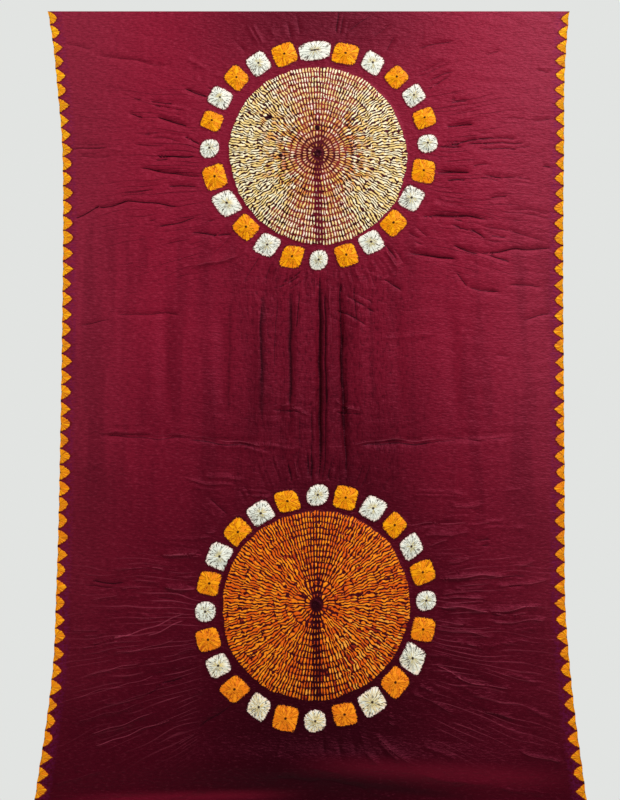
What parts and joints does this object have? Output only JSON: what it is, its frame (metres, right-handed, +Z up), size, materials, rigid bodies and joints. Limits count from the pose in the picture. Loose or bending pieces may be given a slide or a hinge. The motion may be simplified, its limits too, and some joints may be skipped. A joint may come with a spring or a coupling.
{
  "type": "bandhani cloth",
  "caption": "Tall tie-dyed wall cloth that hangs by its straight top edge, with two stitched disc medallions in rings of tied squares and scalloped side edges.",
  "frame": {"origin": "middle of the cloth's straight top edge, in the middle of the sheet's thickness", "axes": "+Z up along the cloth's length, +X to the right across its width as seen from the front, and -Y out of its face"},
  "size_m": [0.906, 0.0239, 1.4],
  "materials": {
    "silk": "satin"
  },
  "bodies": {
    "root": {"cloth": "silk"}
  },
  "joints": []
}
